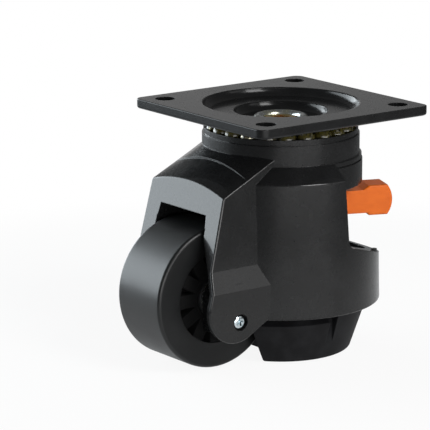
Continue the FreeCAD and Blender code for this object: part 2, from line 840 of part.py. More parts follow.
def wheel_ribs():
    """Radial ribs across one side recess."""
    inner = wheel_hub_radius - wheel_rib_drop
    outer = wheel_recess_radius + wheel_rib_drop
    low_x = wheel_half_width - wheel_recess_depth
    high_x = wheel_half_width - wheel_rib_drop
    ribs = []
    for index in range(wheel_rib_count):
        rib = block(vec(low_x, axle_y - wheel_rib_width / 2, axle_z + inner),
                    vec(high_x, axle_y + wheel_rib_width / 2, axle_z + outer))
        rib.rotate(vec(0, axle_y, axle_z), X_AXIS, index * 360.0 / wheel_rib_count)
        ribs.append(rib)
    return fused(ribs)


def make_wheel():
    floor_x = wheel_half_width - wheel_recess_depth
    hub_x = wheel_half_width - bush_flange
    half = [
        (0, bush_radius),
        (hub_x, bush_radius),
        (hub_x, wheel_hub_radius),
        (floor_x, wheel_hub_radius),
        (floor_x, wheel_recess_radius),
        (wheel_half_width, wheel_recess_radius),
        (wheel_half_width, wheel_radius),
        (0, wheel_radius),
    ]
    side = turned_about_x(half, axle_y, axle_z)
    shoulder = [edge for edge in side.Edges
                if abs(edge.BoundBox.XMin - wheel_half_width) < RUNNING_FIT
                and edge.BoundBox.ZLength > 2 * wheel_radius - RUNNING_FIT]
    side = side.makeFillet(wheel_shoulder, shoulder).fuse(wheel_ribs())
    bore = cylinder_x(bush_radius, -wheel_half_width, wheel_half_width, axle_y, axle_z)
    return both_sides(side).removeSplitter().cut(bore)


def make_right_bush():
    inner_x = bush_middle_gap
    hub_x = wheel_half_width - bush_flange
    profile = [
        (inner_x, bush_bore_radius),
        (wheel_half_width, bush_bore_radius),
        (wheel_half_width, bush_flange_radius),
        (hub_x, bush_flange_radius),
        (hub_x, bush_radius),
        (inner_x, bush_radius),
    ]
    return turned_about_x(profile, axle_y, axle_z)


def make_right_washer():
    low_x = wheel_half_width + FACE_GAP
    high_x = low_x + washer_thickness
    ring = cylinder_x(washer_radius, low_x, high_x, axle_y, axle_z)
    return ring.cut(cylinder_x(axle_radius + RUNNING_FIT, low_x, high_x, axle_y, axle_z))


def make_axle():
    rod = cylinder_x(axle_radius, -axle_half_length, axle_half_length, axle_y, axle_z)
    return rod.makeChamfer(edge_round, [edge for edge in rod.Edges if edge.BoundBox.XLength < RUNNING_FIT])


def make_lock_screws():
    floor_x = ear_outer_x - lock_head_recess - lock_head_height
    shank = cylinder_x(lock_screw_radius, lock_point_x, floor_x, axle_y, lock_screw_z)
    cap = cylinder_x(lock_head_radius, floor_x, floor_x + lock_head_height, axle_y, lock_screw_z)
    screw = shank.fuse(cap)
    slot = lock_head_radius / 2
    bar = slot / 2
    depth = vec(floor_x + lock_head_height / 2, axle_y, lock_screw_z)
    reach = vec(lock_head_height, 0, 0)
    upright = block(depth - vec(0, bar / 2, slot), depth + reach + vec(0, bar / 2, slot))
    level = block(depth - vec(0, slot, bar / 2), depth + reach + vec(0, slot, bar / 2))
    screw = screw.cut(upright.fuse(level))
    return Part.makeCompound([screw, mirrored_x(screw)])


# Nut, thrust washer and retaining plate

def gear_outline():
    """Outline of the ratchet gear, with a gap centred on the lever's arm."""
    points = []
    pitch = 360.0 / gear_teeth
    for index in range(gear_teeth):
        centre = 90.0 + (index + 0.5) * pitch
        points.append(polar(gear_root_radius, centre - gear_root_half_angle))
        points.append(polar(gear_tip_radius, centre - gear_tip_half_angle))
        points.append(polar(gear_tip_radius, centre + gear_tip_half_angle))
        points.append(polar(gear_root_radius, centre + gear_root_half_angle))
    return points


def make_ratchet_nut():
    journal = cylinder_z(nut_journal_radius, gear_top_z, nut_top_z)
    gear = on_lever(prism_z(gear_outline(), gear_bottom_z, gear_top_z))
    lower = cylinder_z(nut_lower_journal_radius, nut_shoulder_z, gear_bottom_z)
    tail = cylinder_z(nut_tail_radius, nut_bottom_z, nut_shoulder_z)
    nut = fused([journal, gear, lower, tail])
    return nut.cut(cylinder_z(screw_radius + RUNNING_FIT, nut_bottom_z, nut_top_z))


def make_thrust_washer():
    low_z = thrust_top_z - thrust_washer_thickness
    washer = cylinder_z(thrust_washer_radius, low_z, thrust_top_z)
    return washer.cut(cylinder_z(thrust_washer_bore, low_z, thrust_top_z))


def make_retaining_plate():
    low = retainer_bottom_z
    high = retainer_top_z
    pads = [cylinder_z(retainer_radius, low, high)]
    for x, y in retainer_posts():
        side = math.copysign(1.0, x)
        pads.append(cylinder_z(post_radius, low, high, x, y))
        tip = (x - side * post_radius, y - post_radius)
        pads.append(prism_z([(x, y + post_radius), (side * nut_tail_radius, nut_tail_radius),
                             (side * nut_tail_radius, retainer_front_y), tip, (x, y - post_radius)], low, high))
    plate = fused(pads)
    clear_x = well_block_half_width + FREE_FIT
    front = block(vec(-clear_x, -bore_low_radius, low), vec(clear_x, retainer_front_y, high))
    plate = plate.cut(front).cut(cylinder_z(nut_tail_radius + 2 * RUNNING_FIT, low, high))
    for x, y in retainer_posts():
        plate = plate.cut(cylinder_z(retainer_screw_radius + RUNNING_FIT, low, high, x, y))
    return plate


def make_retaining_screws():
    screws = []
    for x, y in retainer_posts():
        top_z = retainer_top_z + retainer_screw_length - FREE_FIT
        head_low_z = retainer_bottom_z - retainer_screw_head_height
        shank = cylinder_z(retainer_screw_radius, retainer_bottom_z, top_z, x, y)
        head = cylinder_z(retainer_screw_head_radius, head_low_z, retainer_bottom_z, x, y)
        socket = cylinder_z(retainer_screw_radius, head_low_z, head_low_z + retainer_screw_radius / 2, x, y)
        screws.append(shank.fuse(head).cut(socket))
    return Part.makeCompound(screws)


# Lever, built with its arm along +Y

def housing_outline(inset):
    """Plan of the pawl housing between ring and arm, drawn in by inset."""
    half = housing_half_width - inset
    narrow = arm_half_width - inset
    end = housing_end - inset
    return [(-half, 0), (half, 0), (half, housing_shoulder), (narrow, end), (-narrow, end), (-half, housing_shoulder)]


def lever_plan(z_low, z_high):
    ring = cylinder_z(lever_ring_radius, z_low, z_high)
    return ring.fuse(prism_z(housing_outline(0), z_low, z_high))


def arm_profile():
    """Side view of arm and hammer head as (y, z) edges, with a bulging end."""
    top = lever_top_z
    low = lever_bottom_z
    head_top = top + head_rise
    head_low = low - head_drop
    ramp_start = head_start - head_ramp
    middle_z = (head_top + head_low) / 2
    points = [(0, top), (ramp_start, top), (head_start, head_top), (head_end, head_top)]
    lower = [(head_end, head_low), (head_start, head_low), (head_start - head_drop, low), (0, low)]
    chain = [vec(0, y, z) for y, z in points]
    back = [vec(0, y, z) for y, z in lower]
    edges = [line_edge(a, b) for a, b in zip(chain, chain[1:])]
    edges.append(arc_edge(chain[-1], vec(0, head_end + head_bulge, middle_z), back[0]))
    edges += [line_edge(a, b) for a, b in zip(back, back[1:])]
    edges.append(line_edge(back[-1], chain[0]))
    return Part.Face(Part.Wire(edges))


def make_arm():
    arm = arm_profile().translated(vec(-arm_half_width, 0, 0)).extrude(vec(2 * arm_half_width, 0, 0))
    rims = [edge for edge in arm.Edges
            if edge.BoundBox.XLength < RUNNING_FIT and edge.BoundBox.YMin > arm_half_width]
    return arm.makeFillet(edge_round, rims)


def cover_screw_places():
    return [polar(cover_screw_circle, angle) for angle in cover_screw_angles]


def make_lever():
    body = fused([lever_plan(cover_top_z, lever_top_z), make_arm()])
    cover_room = lever_plan(lever_bottom_z, cover_top_z)
    body = body.cut(cover_room).cut(cylinder_z(nut_journal_radius + 2 * RUNNING_FIT, cover_top_z, lever_top_z))
    roof_z = lever_top_z - lever_skin
    body = body.cut(cylinder_z(gear_room_radius, lever_bottom_z, roof_z))
    body = body.cut(prism_z(housing_outline(housing_wall), cover_top_z, roof_z))
    body = body.cut(cylinder_z(pawl_pin_radius + RUNNING_FIT, cover_top_z, lever_top_z, 0, pawl_pivot))
    for x, y in cover_screw_places():
        body = body.cut(cylinder_z(cover_screw_radius + RUNNING_FIT, cover_top_z,
                                   cover_top_z + cover_screw_length, x, y))
    body = body.cut(cylinder_y(plunger_radius + RUNNING_FIT, housing_end - 2 * housing_wall,
                               plunger_start() + plunger_length + detent_spring_length, 0, plunger_z()))
    return on_lever(body)


def make_lever_cover():
    cover = lever_plan(lever_bottom_z, cover_top_z)
    cover = cover.cut(cylinder_z(nut_lower_journal_radius + 2 * RUNNING_FIT, lever_bottom_z, cover_top_z))
    cover = cover.cut(cylinder_z(pawl_pin_radius + RUNNING_FIT, lever_bottom_z, cover_top_z, 0, pawl_pivot))
    for x, y in cover_screw_places():
        cover = cover.cut(countersunk(x, y, RUNNING_FIT))
    return on_lever(cover)


def countersunk(x, y, gap):
    """Countersunk screw from the cover's underside, grown by gap."""
    cone_height = cover_screw_head_radius - cover_screw_radius
    cone = Part.makeCone(cover_screw_head_radius + gap, cover_screw_radius + gap, cone_height,
                         vec(x, y, lever_bottom_z), Z_AXIS)
    top_z = cover_top_z + cover_screw_length - FREE_FIT
    return cone.fuse(cylinder_z(cover_screw_radius + gap, lever_bottom_z + cone_height, top_z, x, y))


def make_cover_screws():
    screws = []
    for x, y in cover_screw_places():
        screws.append(on_lever(countersunk(x, y, 0)))
    return Part.makeCompound(screws)


# Pawl and its detent, built with the arm along +Y

def pawl_horn():
    """Right-hand horn in its resting place, lifted clear of the gear."""
    gap_angle = 90.0 - 360.0 / gear_teeth
    tip_radius = gear_root_radius + pawl_tooth_clearance
    base_radius = tip_radius + pawl_tooth_depth
    tip_x, tip_y = polar(tip_radius, gap_angle)
    base_x, base_y = polar(base_radius, gap_angle)
    side_x, side_y = polar(1.0, gap_angle - 90.0)
    tooth = prism_z([
        (tip_x - pawl_tooth_half_tip * side_x, tip_y - pawl_tooth_half_tip * side_y),
        (tip_x + pawl_tooth_half_tip * side_x, tip_y + pawl_tooth_half_tip * side_y),
        (base_x + pawl_tooth_half_base * side_x, base_y + pawl_tooth_half_base * side_y),
        (base_x - pawl_tooth_half_base * side_x, base_y - pawl_tooth_half_base * side_y),
    ], pawl_top_z - pawl_thickness, pawl_top_z)
    length = math.hypot(base_x, base_y - pawl_pivot)
    across_x = pawl_bar_half_width * (pawl_pivot - base_y) / length
    across_y = pawl_bar_half_width * base_x / length
    bar = prism_z([
        (-across_x, pawl_pivot - across_y),
        (base_x - across_x, base_y - across_y),
        (base_x + across_x, base_y + across_y),
        (across_x, pawl_pivot + across_y),
    ], pawl_top_z - pawl_thickness, pawl_top_z)
    return swung(tooth.fuse(bar), pawl_swing, 0, pawl_pivot)


def make_pawl():
    low_z = pawl_top_z - pawl_thickness
    hub = cylinder_z(pawl_hub_radius, low_z, pawl_top_z, 0, pawl_pivot)
    pawl = fused([hub, pawl_horn(), mirrored_x(pawl_horn())])
    notch_radius = plunger_radius + RUNNING_FIT
    for angle in (-pawl_swing, pawl_swing):
        notch_y = pawl_pivot + pawl_hub_radius + detent_notch_share * notch_radius
        notch = cylinder_z(notch_radius, low_z, pawl_top_z, 0, notch_y)
        pawl = pawl.cut(swung(notch, angle, 0, pawl_pivot))
    return on_lever(pawl.cut(cylinder_z(pawl_pin_radius, low_z, pawl_top_z, 0, pawl_pivot)))


def make_pawl_pin():
    low_z = selector_top_z - selector_thickness
    return on_lever(cylinder_z(pawl_pin_radius, low_z, lever_top_z, 0, pawl_pivot))


def make_selector():
    low_z = selector_top_z - selector_thickness
    end_y = pawl_pivot + selector_reach
    hub = cylinder_z(selector_hub_radius, low_z, selector_top_z, 0, pawl_pivot)
    tongue = block(vec(-selector_half_width, pawl_pivot, low_z), vec(selector_half_width, end_y, selector_top_z))
    tip = cylinder_z(selector_half_width, low_z, selector_top_z, 0, end_y)
    tab = fused([hub, tongue, tip])
    return on_lever(tab.cut(cylinder_z(pawl_pin_radius, low_z, selector_top_z, 0, pawl_pivot)))


def plunger_z():
    return pawl_top_z - pawl_thickness / 2


def plunger_start():
    return pawl_pivot + pawl_hub_radius + FACE_GAP


def make_plunger():
    start = plunger_start()
    nose = Part.makeSphere(plunger_radius, vec(0, start + plunger_radius, plunger_z()))
    shank = cylinder_y(plunger_radius, start + plunger_radius, start + plunger_length, 0, plunger_z())
    return on_lever(nose.fuse(shank).removeSplitter())


def make_detent_spring():
    """Stacked coils that fill the bore behind the plunger."""
    start = plunger_start() + plunger_length
    pitch = (detent_spring_length - 2 * detent_wire_radius) / detent_coils
    coil_radius = plunger_radius - detent_wire_radius - RUNNING_FIT
    helix = Part.makeHelix(pitch, pitch * detent_coils, coil_radius)
    section = Part.Wire(Part.makeCircle(detent_wire_radius, vec(coil_radius, 0, 0), Y_AXIS))
    spring = helix.makePipeShell([section], True, True)
    spring.rotate(ORIGIN, X_AXIS, -90)
    spring.translate(vec(0, start + detent_wire_radius, plunger_z()))
    return on_lever(spring)


# Foot

def hex_socket():
    points = [polar(screw_socket_flats / math.sqrt(3), 60.0 * index) for index in range(6)]
    return prism_z(points, screw_top_z - screw_socket_depth, screw_top_z)


def make_foot_spindle():
    shank = cylinder_z(screw_radius, foot_plate_top_z, screw_top_z)
    top = [edge for edge in shank.Edges if edge.BoundBox.ZMin > screw_top_z - RUNNING_FIT]
    shank = shank.makeChamfer(edge_round, top)
    neck = cylinder_z(rivet_end_radius, pad_recess_z, foot_plate_top_z)
    end = cylinder_z(rivet_end_radius + rivet_end_height, pad_recess_z - rivet_end_height, pad_recess_z)
    return fused([shank, neck, end]).cut(hex_socket())


def make_foot_plate():
    plate = cylinder_z(foot_plate_radius, pad_recess_z, foot_plate_top_z)
    notch_x = well_block_half_width + 2 * FREE_FIT
    notch = block(vec(-notch_x, -foot_plate_radius, pad_recess_z),
                  vec(notch_x, pad_notch_y + foot_plate_notch_gap, foot_plate_top_z))
    return plate.cut(notch).cut(cylinder_z(rivet_end_radius, pad_recess_z, foot_plate_top_z))


def keyway():
    """Right-hand upright groove in the pad for the casting's key."""
    half = key_width / 2 + keyway_gap
    floor = key_reach_x - keyway_gap
    return block(vec(floor, key_y - half, ground_z), vec(barrel_bottom_radius, key_y + half, pad_skirt_z))


def make_foot_pad():
    bottom_radius = pad_radius - pad_taper * (barrel_bottom_z - ground_z)
    cone = turned([(0, barrel_bottom_z), (pad_radius, barrel_bottom_z), (bottom_radius, ground_z), (0, ground_z)])
    rim = [edge for edge in cone.Edges if edge.BoundBox.ZMax < ground_z + RUNNING_FIT]
    cone = cone.makeFillet(pad_bottom_round, rim)
    skirt = cylinder_z(pad_skirt_radius, barrel_bottom_z, pad_skirt_z)
    pad = fused([cone, skirt])
    lip_z = pad_front_z - pad_lip_height
    lip_radius = pad_radius - pad_taper * (barrel_bottom_z - lip_z)
    front_y_limit = key_y - key_width / 2 - keyway_gap
    front_top = turned([(0, pad_front_z), (lip_radius - pad_lip_height, pad_front_z), (lip_radius, lip_z),
                        (2 * pad_radius, lip_z), (2 * pad_radius, pad_skirt_z), (0, pad_skirt_z)])
    front_side = block(vec(-2 * pad_radius, -2 * pad_radius, lip_z), vec(2 * pad_radius, front_y_limit, pad_skirt_z))
    pad = pad.cut(front_top.common(front_side))
    pad = pad.cut(cylinder_z(pad_cup_radius, pad_front_z, pad_skirt_z))
    pad = pad.cut(cylinder_z(foot_plate_radius, pad_recess_z, pad_front_z))
    pad = pad.cut(cylinder_z(rivet_end_radius + rivet_end_height, pad_recess_z - rivet_end_height, pad_recess_z))
    notch = block(vec(-pad_notch_half_width, -2 * pad_radius, ground_z),
                  vec(pad_notch_half_width, pad_notch_y, pad_skirt_z))
    pad = pad.cut(notch).cut(both_sides(keyway()))
    return pad.cut(sole_grooves())


def sole_grooves():
    rings = []
    for index in range(sole_groove_count):
        inner = sole_groove_first + index * sole_groove_step
        ring = cylinder_z(inner + sole_groove_width, ground_z, ground_z + sole_groove_depth)
        rings.append(ring.cut(cylinder_z(inner, ground_z, ground_z + sole_groove_depth)))
    return Part.makeCompound(rings)


def build_nodes():
    """Every node of the castor, by name."""
    right_bush = make_right_bush()
    right_washer = make_right_washer()
    return {
        "top_plate": make_top_plate(),
        "king_rivet": make_king_rivet(),
        "lower_race": make_lower_race(),
        "upper_balls": ball_row(upper_ball_radius, upper_ball_circle, upper_ball_z, upper_ball_count),
        "lower_balls": ball_row(lower_ball_radius, lower_ball_circle, lower_ball_z, lower_ball_count),
        "swivel_body": make_swivel_body(),
        "wheel": make_wheel(),
        "left_wheel_bush": mirrored_x(right_bush),
        "right_wheel_bush": right_bush,
        "left_wheel_washer": mirrored_x(right_washer),
        "right_wheel_washer": right_washer,
        "axle": make_axle(),
        "axle_lock_screws": make_lock_screws(),
        "upper_thrust_washer": make_thrust_washer(),
        "ratchet_nut": make_ratchet_nut(),
        "lever": make_lever(),
        "lever_cover": make_lever_cover(),
        "cover_screws": make_cover_screws(),
        "pawl": make_pawl(),
        "pawl_pin": make_pawl_pin(),
        "selector": make_selector(),
        "detent_plunger": make_plunger(),
        "detent_spring": make_detent_spring(),
        "retaining_plate": make_retaining_plate(),
        "retaining_screws": make_retaining_screws(),
        "foot_spindle": make_foot_spindle(),
        "foot_plate": make_foot_plate(),
        "foot_pad": make_foot_pad(),
    }


def main():
    os.makedirs("parts", exist_ok=True)
    for name, shape in build_nodes().items():
        shape.exportStep(os.path.join("parts", name + ".step"))
        print(name, "solids", len(shape.Solids), "valid", shape.isValid(), "volume", round(shape.Volume, 1))


main()
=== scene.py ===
import logging
import math
from dataclasses import dataclass
from enum import Enum
from typing import Any, Callable, Mapping

import bmesh
import bpy
from mathutils import Euler, Matrix, Vector


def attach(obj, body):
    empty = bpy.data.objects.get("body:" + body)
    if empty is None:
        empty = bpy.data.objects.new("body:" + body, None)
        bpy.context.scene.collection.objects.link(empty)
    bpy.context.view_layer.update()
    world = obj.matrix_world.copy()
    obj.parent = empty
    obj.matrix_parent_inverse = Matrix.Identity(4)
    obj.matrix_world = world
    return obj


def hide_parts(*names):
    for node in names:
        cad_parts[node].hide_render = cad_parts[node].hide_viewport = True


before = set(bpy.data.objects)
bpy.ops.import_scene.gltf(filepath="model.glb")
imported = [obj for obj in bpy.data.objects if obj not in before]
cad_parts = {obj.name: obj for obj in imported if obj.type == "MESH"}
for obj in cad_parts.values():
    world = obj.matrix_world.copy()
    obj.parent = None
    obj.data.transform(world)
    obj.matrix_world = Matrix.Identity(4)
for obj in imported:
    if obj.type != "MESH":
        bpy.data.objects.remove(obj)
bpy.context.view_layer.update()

MM = 0.001
TOUCH = 1e-6
Colour = tuple[float, float, float]
Stretch = tuple[float, float, float]

log = logging.getLogger("castor")


# Shader maths

class Field:
    """A number that changes over a surface. Python operators on it add Math nodes."""

    def __init__(self, bench: "Bench", socket: bpy.types.NodeSocket) -> None:
        """Keep the socket that carries the number.

        Args:
            bench: The node tree that the socket belongs to.
            socket: The output that holds the number.
        """
        self.bench = bench
        self.socket = socket

    def _join(self, operation: str, other: "Field | float", flipped: bool = False) -> "Field":
        """Add one Math node.

        Args:
            operation: The Math node's operation.
            other: The second number.
            flipped: True when this number comes second.

        Returns:
            The result as a new field.
        """
        first, second = (other, self) if flipped else (self, other)
        node = self.bench.node("ShaderNodeMath", {"operation": operation}, {0: first, 1: second})
        return Field(self.bench, node.outputs[0])

    def __add__(self, other: "Field | float") -> "Field":
        """Sum of two numbers.

        Args:
            other: The number to add.

        Returns:
            The sum as a new field.
        """
        return self._join("ADD", other)

    __radd__ = __add__

    def __sub__(self, other: "Field | float") -> "Field":
        """Difference of two numbers.

        Args:
            other: The number to take away.

        Returns:
            The difference as a new field.
        """
        return self._join("SUBTRACT", other)

    def __rsub__(self, other: "Field | float") -> "Field":
        """Difference of two numbers, reflected.

        Args:
            other: The number that this one is taken from.

        Returns:
            The difference as a new field.
        """
        return self._join("SUBTRACT", other, flipped=True)

    def __mul__(self, other: "Field | float") -> "Field":
        """Product of two numbers.

        Args:
            other: The factor.

        Returns:
            The product as a new field.
        """
        return self._join("MULTIPLY", other)

    __rmul__ = __mul__

    def __truediv__(self, other: "Field | float") -> "Field":
        """Quotient of two numbers.

        Args:
            other: The divisor.

        Returns:
            The quotient as a new field.
        """
        return self._join("DIVIDE", other)

    def __pow__(self, other: "Field | float") -> "Field":
        """Power of a number.

        Args:
            other: The exponent.

        Returns:
            The power as a new field.
        """
        return self._join("POWER", other)

    def sine(self) -> "Field":
        """Sine of the number, in radians.

        Returns:
            The sine as a new field.
        """
        return self._join("SINE", 0.0)

    def above(self, low: float, high: float) -> "Field":
        """Smooth step from 0 at low to 1 at high.

        Args:
            low: Value that gives 0.
            high: Value that gives 1.

        Returns:
            The step as a new field.
        """
        node = self.bench.node(
            "ShaderNodeMapRange",
            {"interpolation_type": "SMOOTHSTEP", "clamp": True},
            {0: self, 1: low, 2: high, 3: 0.0, 4: 1.0},
        )
        return Field(self.bench, node.outputs[0])


class Bench:
    """A node tree that nodes are added to."""

    def __init__(self, owner: bpy.types.Material | bpy.types.World) -> None:
        """Empty the owner's node tree.

        Args:
            owner: The material or the world that the tree belongs to.
        """
        owner.use_nodes = True
        self.tree = owner.node_tree
        self.tree.nodes.clear()

    def node(self, kind: str, settings: Mapping[str, Any], sockets: Mapping[Any, Any]) -> bpy.types.Node:
        """Add any node, with its settings first and its sockets after them.

        Args:
            kind: The node's type.
            settings: Values of the node's own properties.
            sockets: Values or links by input name or number.

        Returns:
            The new node.
        """
        made = self.tree.nodes.new(kind)
        for key, value in settings.items():
            setattr(made, key, value)
        for key, value in sockets.items():
            self.feed(made.inputs[key], value)
        return made

    def feed(self, socket: bpy.types.NodeSocket, value: Any) -> None:
        """Link or set one input.

        Args:
            socket: The input.
            value: A field, an output or a plain value.
        """
        if isinstance(value, Field):
            self.tree.links.new(value.socket, socket)
        elif isinstance(value, bpy.types.NodeSocket):
            self.tree.links.new(value, socket)
        else:
            socket.default_value = value

    def path(self, name: str) -> Field:
        """One kind of ray, as 1 or 0.

        Args:
            name: The Light Path output's name.

        Returns:
            The switch as a field.
        """
        return Field(self, self.node("ShaderNodeLightPath", {}, {}).outputs[name])


class Shop(Bench):
    """One material and the nodes that it is made of."""

    def __init__(self, name: str) -> None:
        """Start a node tree with a shader and an output.

        Args:
            name: The material's name.
        """
        self.material = bpy.data.materials.new(name)
        super().__init__(self.material)
        self.output = self.node("ShaderNodeOutputMaterial", {}, {})
        self.shader = self.node("ShaderNodeBsdfPrincipled", {}, {})
        self.feed(self.output.inputs[0], self.shader.outputs[0])
        self.place = self.node("ShaderNodeTexCoord", {}, {}).outputs["Object"]

    def axis(self, name: str) -> Field:
        """One object coordinate, in millimetres.

        Args:
            name: X, Y or Z.

        Returns:
            The coordinate as a field.
        """
        split = self.node("ShaderNodeSeparateXYZ", {}, {0: self.place})
        return Field(self, split.outputs[name]) / MM

    def noise(self, size: float, detail: float = 3.0, stretch: Stretch = (1.0, 1.0, 1.0)) -> Field:
        """Cloudy noise on object coordinates.

        Args:
            size: Feature size in millimetres.
            detail: Octaves.
            stretch: Factor on each coordinate.

        Returns:
            Noise from about 0 to 1.
        """
        moved = self.node(
            "ShaderNodeMapping", {"vector_type": "POINT"}, {"Vector": self.place, "Scale": stretch}
        )
        sockets = {"Vector": moved.outputs[0], "Scale": 1.0 / (size * MM), "Detail": detail}
        made = self.node("ShaderNodeTexNoise", {}, sockets)
        return Field(self, made.outputs[0])

    def cells(self, size: float) -> Field:
        """Distance to the nearest of many scattered points, for stipple.

        Args:
            size: Cell size in millimetres.

        Returns:
            Distance as a field.
        """
        made = self.node("ShaderNodeTexVoronoi", {}, {"Vector": self.place, "Scale": 1.0 / (size * MM)})
        return Field(self, made.outputs["Distance"])

    def blend(self, factor: Field, first: Any, second: Any) -> bpy.types.NodeSocket:
        """Mix two colours.

        Args:
            factor: 0 gives the first colour, 1 the second.
            first: Colour or link.
            second: Colour or link.

        Returns:
            The mixed colour's output.
        """
        made = self.node("ShaderNodeMix", {"data_type": "RGBA"}, {0: factor})
        self.feed(made.inputs[6], (*first, 1.0) if isinstance(first, tuple) else first)
        self.feed(made.inputs[7], (*second, 1.0) if isinstance(second, tuple) else second)
        return made.outputs[2]

    def bump(
        self, height: Field, depth: float, strength: float, soft_edge: float = 0.0
    ) -> bpy.types.NodeSocket:
        """Turn a height into a normal, with softened edges under it.

        Args:
            height: Height from 0 to 1.
            depth: What a height of 1 stands for, in millimetres.
            strength: Strength of the bump.
            soft_edge: Radius of softened edges in millimetres, or 0 for none.

        Returns:
            The normal's output.
        """
        sockets: dict[Any, Any] = {"Height": height, "Distance": depth * MM, "Strength": strength}
        if soft_edge:
            rounded = self.node("ShaderNodeBevel", {"samples": 6}, {"Radius": soft_edge * MM})
            sockets["Normal"] = rounded.outputs[0]
        return self.node("ShaderNodeBump", {}, sockets).outputs[0]

    def shade(self, **values: Any) -> bpy.types.Material:
        """Set the shader's sockets and hand over the material.

        Args:
            values: Values or links by socket name, with underscores for spaces.

        Returns:
            The finished material.
        """
        for key, value in values.items():
            self.feed(self.shader.inputs[key.replace("_", " ")], value)
        return self.material


# Finishes

@dataclass(frozen=True)
class SatinPaint:
    """Black paint with a soft gloss and a faint orange-peel skin."""

    name: str
    deep: Colour = (0.0070, 0.0071, 0.0073)
    pale: Colour = (0.0095, 0.0097, 0.0100)
    rough_low: float = 0.23
    rough_high: float = 0.27
    cloud_size: float = 9.0
    peel_size: float = 1.1
    peel_depth: float = 0.02
    peel_strength: float = 0.35
    grain_size: float = 0.22
    grain_share: float = 0.25
    grain_rough: float = 0.04
    dust_size: float = 2.6
    dust_rough: float = 0.05
    sheen_level: float = 0.15
    coat: float = 0.4
    coat_rough: float = 0.06
    edge: float = 0.35

    def material(self) -> bpy.types.Material:
        """Build the paint.

        Returns:
            The finished material.
        """
        shop = Shop(self.name)
        cloud = shop.noise(self.cloud_size, 4.0)
        peel = shop.noise(self.peel_size, 2.0)
        grain = shop.noise(self.grain_size, 2.0)
        dust = shop.noise(self.dust_size, 5.0).above(0.56, 0.72)
        colour = shop.blend(cloud.above(0.3, 0.7), self.deep, self.pale)
        worn = self.rough_low + (self.rough_high - self.rough_low) * cloud
        rough = worn + self.dust_rough * dust + self.grain_rough * grain
        skin = peel + self.grain_share * grain
        normal = shop.bump(skin, self.peel_depth, self.peel_strength, self.edge)
        return shop.shade(
            Base_Color=colour,
            Roughness=rough,
            Normal=normal,
            Specular_IOR_Level=self.sheen_level,
            Coat_Weight=self.coat,
            Coat_Roughness=self.coat_rough,
        )


@dataclass(frozen=True)
class ZincPlate:
    """Plated steel with a fine crystalline mottle and faint turning marks."""

    name: str
    bright: Colour = (0.68, 0.70, 0.70)
    dull: Colour = (0.47, 0.50, 0.49)
    tint: Colour = (0.60, 0.60, 0.48)
    rough_low: float = 0.16
    rough_high: float = 0.34
    mottle_size: float = 0.9
    patch_size: float = 3.5
    mark_rate: float = 31.0
    mark_share: float = 0.12
    mark_depth: float = 0.01
    mark_strength: float = 0.4
    edge: float = 0.15

    def material(self) -> bpy.types.Material:
        """Build the plating.

        Returns:
            The finished material.
        """
        shop = Shop(self.name)
        mottle = shop.noise(self.mottle_size, 5.0)
        patch = shop.noise(self.patch_size, 3.0).above(0.45, 0.7)
        marks = (shop.axis("Z") * self.mark_rate).sine()
        colour = shop.blend(patch, shop.blend(mottle.above(0.35, 0.65), self.dull, self.bright), self.tint)
        rough = self.rough_low + (self.rough_high - self.rough_low) * mottle
        turned = mottle + self.mark_share * marks
        normal = shop.bump(turned, self.mark_depth, self.mark_strength, self.edge)
        return shop.shade(Base_Color=colour, Roughness=rough, Metallic=1.0, Normal=normal)


@dataclass(frozen=True)
class YellowZinc:
    """Yellow passivated steel, whose tint drifts from green gold to orange."""

    name: str
    green: Colour = (0.50, 0.46, 0.14)
    gold: Colour = (0.78, 0.55, 0.20)
    orange: Colour = (0.70, 0.26, 0.06)
    drift_size: float = 4.0
    fine_size: float = 0.6
    fine_depth: float = 0.02
    fine_strength: float = 0.4
    edge: float = 0.12
    rough: float = 0.18
    rough_spread: float = 0.2

    def material(self) -> bpy.types.Material:
        """Build the plating.

        Returns:
            The finished material.
        """
        shop = Shop(self.name)
        drift = shop.noise(self.drift_size, 3.0)
        fine = shop.noise(self.fine_size, 4.0)
        base = shop.blend(drift.above(0.4, 0.6), self.green, self.gold)
        colour = shop.blend((fine * drift).above(0.28, 0.42), base, self.orange)
        normal = shop.bump(fine, self.fine_depth, self.fine_strength, self.edge)
        rough = self.rough + self.rough_spread * fine
        return shop.shade(Base_Color=colour, Roughness=rough, Metallic=1.0, Normal=normal)


@dataclass(frozen=True)
class GreasedSteel:
    """Polished balls under a golden film of grease."""

    name: str
    steel: Colour = (0.34, 0.32, 0.24)
    grease: Colour = (0.055, 0.046, 0.010)
    dark: Colour = (0.008, 0.0075, 0.005)
    smear_size: float = 2.2
    clot_size: float = 0.8
    clot_depth: float = 0.12
    clot_strength: float = 0.8
    rough: float = 0.12
    rough_spread: float = 0.4
    metal: float = 0.9
    coat: float = 0.3
    coat_rough: float = 0.12

    def material(self) -> bpy.types.Material:
        """Build the greased steel.

        Returns:
            The finished material.
        """
        shop = Shop(self.name)
        smear = shop.noise(self.smear_size, 4.0)
        clot = shop.noise(self.clot_size, 5.0)
        greased = smear.above(0.30, 0.44)
        film = shop.blend(greased, self.steel, self.grease)
        colour = shop.blend(clot.above(0.52, 0.64), film, self.dark)
        normal = shop.bump(clot, self.clot_depth, self.clot_strength)
        return shop.shade(
            Base_Color=colour,
            Roughness=self.rough + self.rough_spread * smear * clot,
            Metallic=self.metal * (1.0 - greased),
            Normal=normal,
            Coat_Weight=self.coat * greased,
            Coat_Roughness=self.coat_rough,
        )


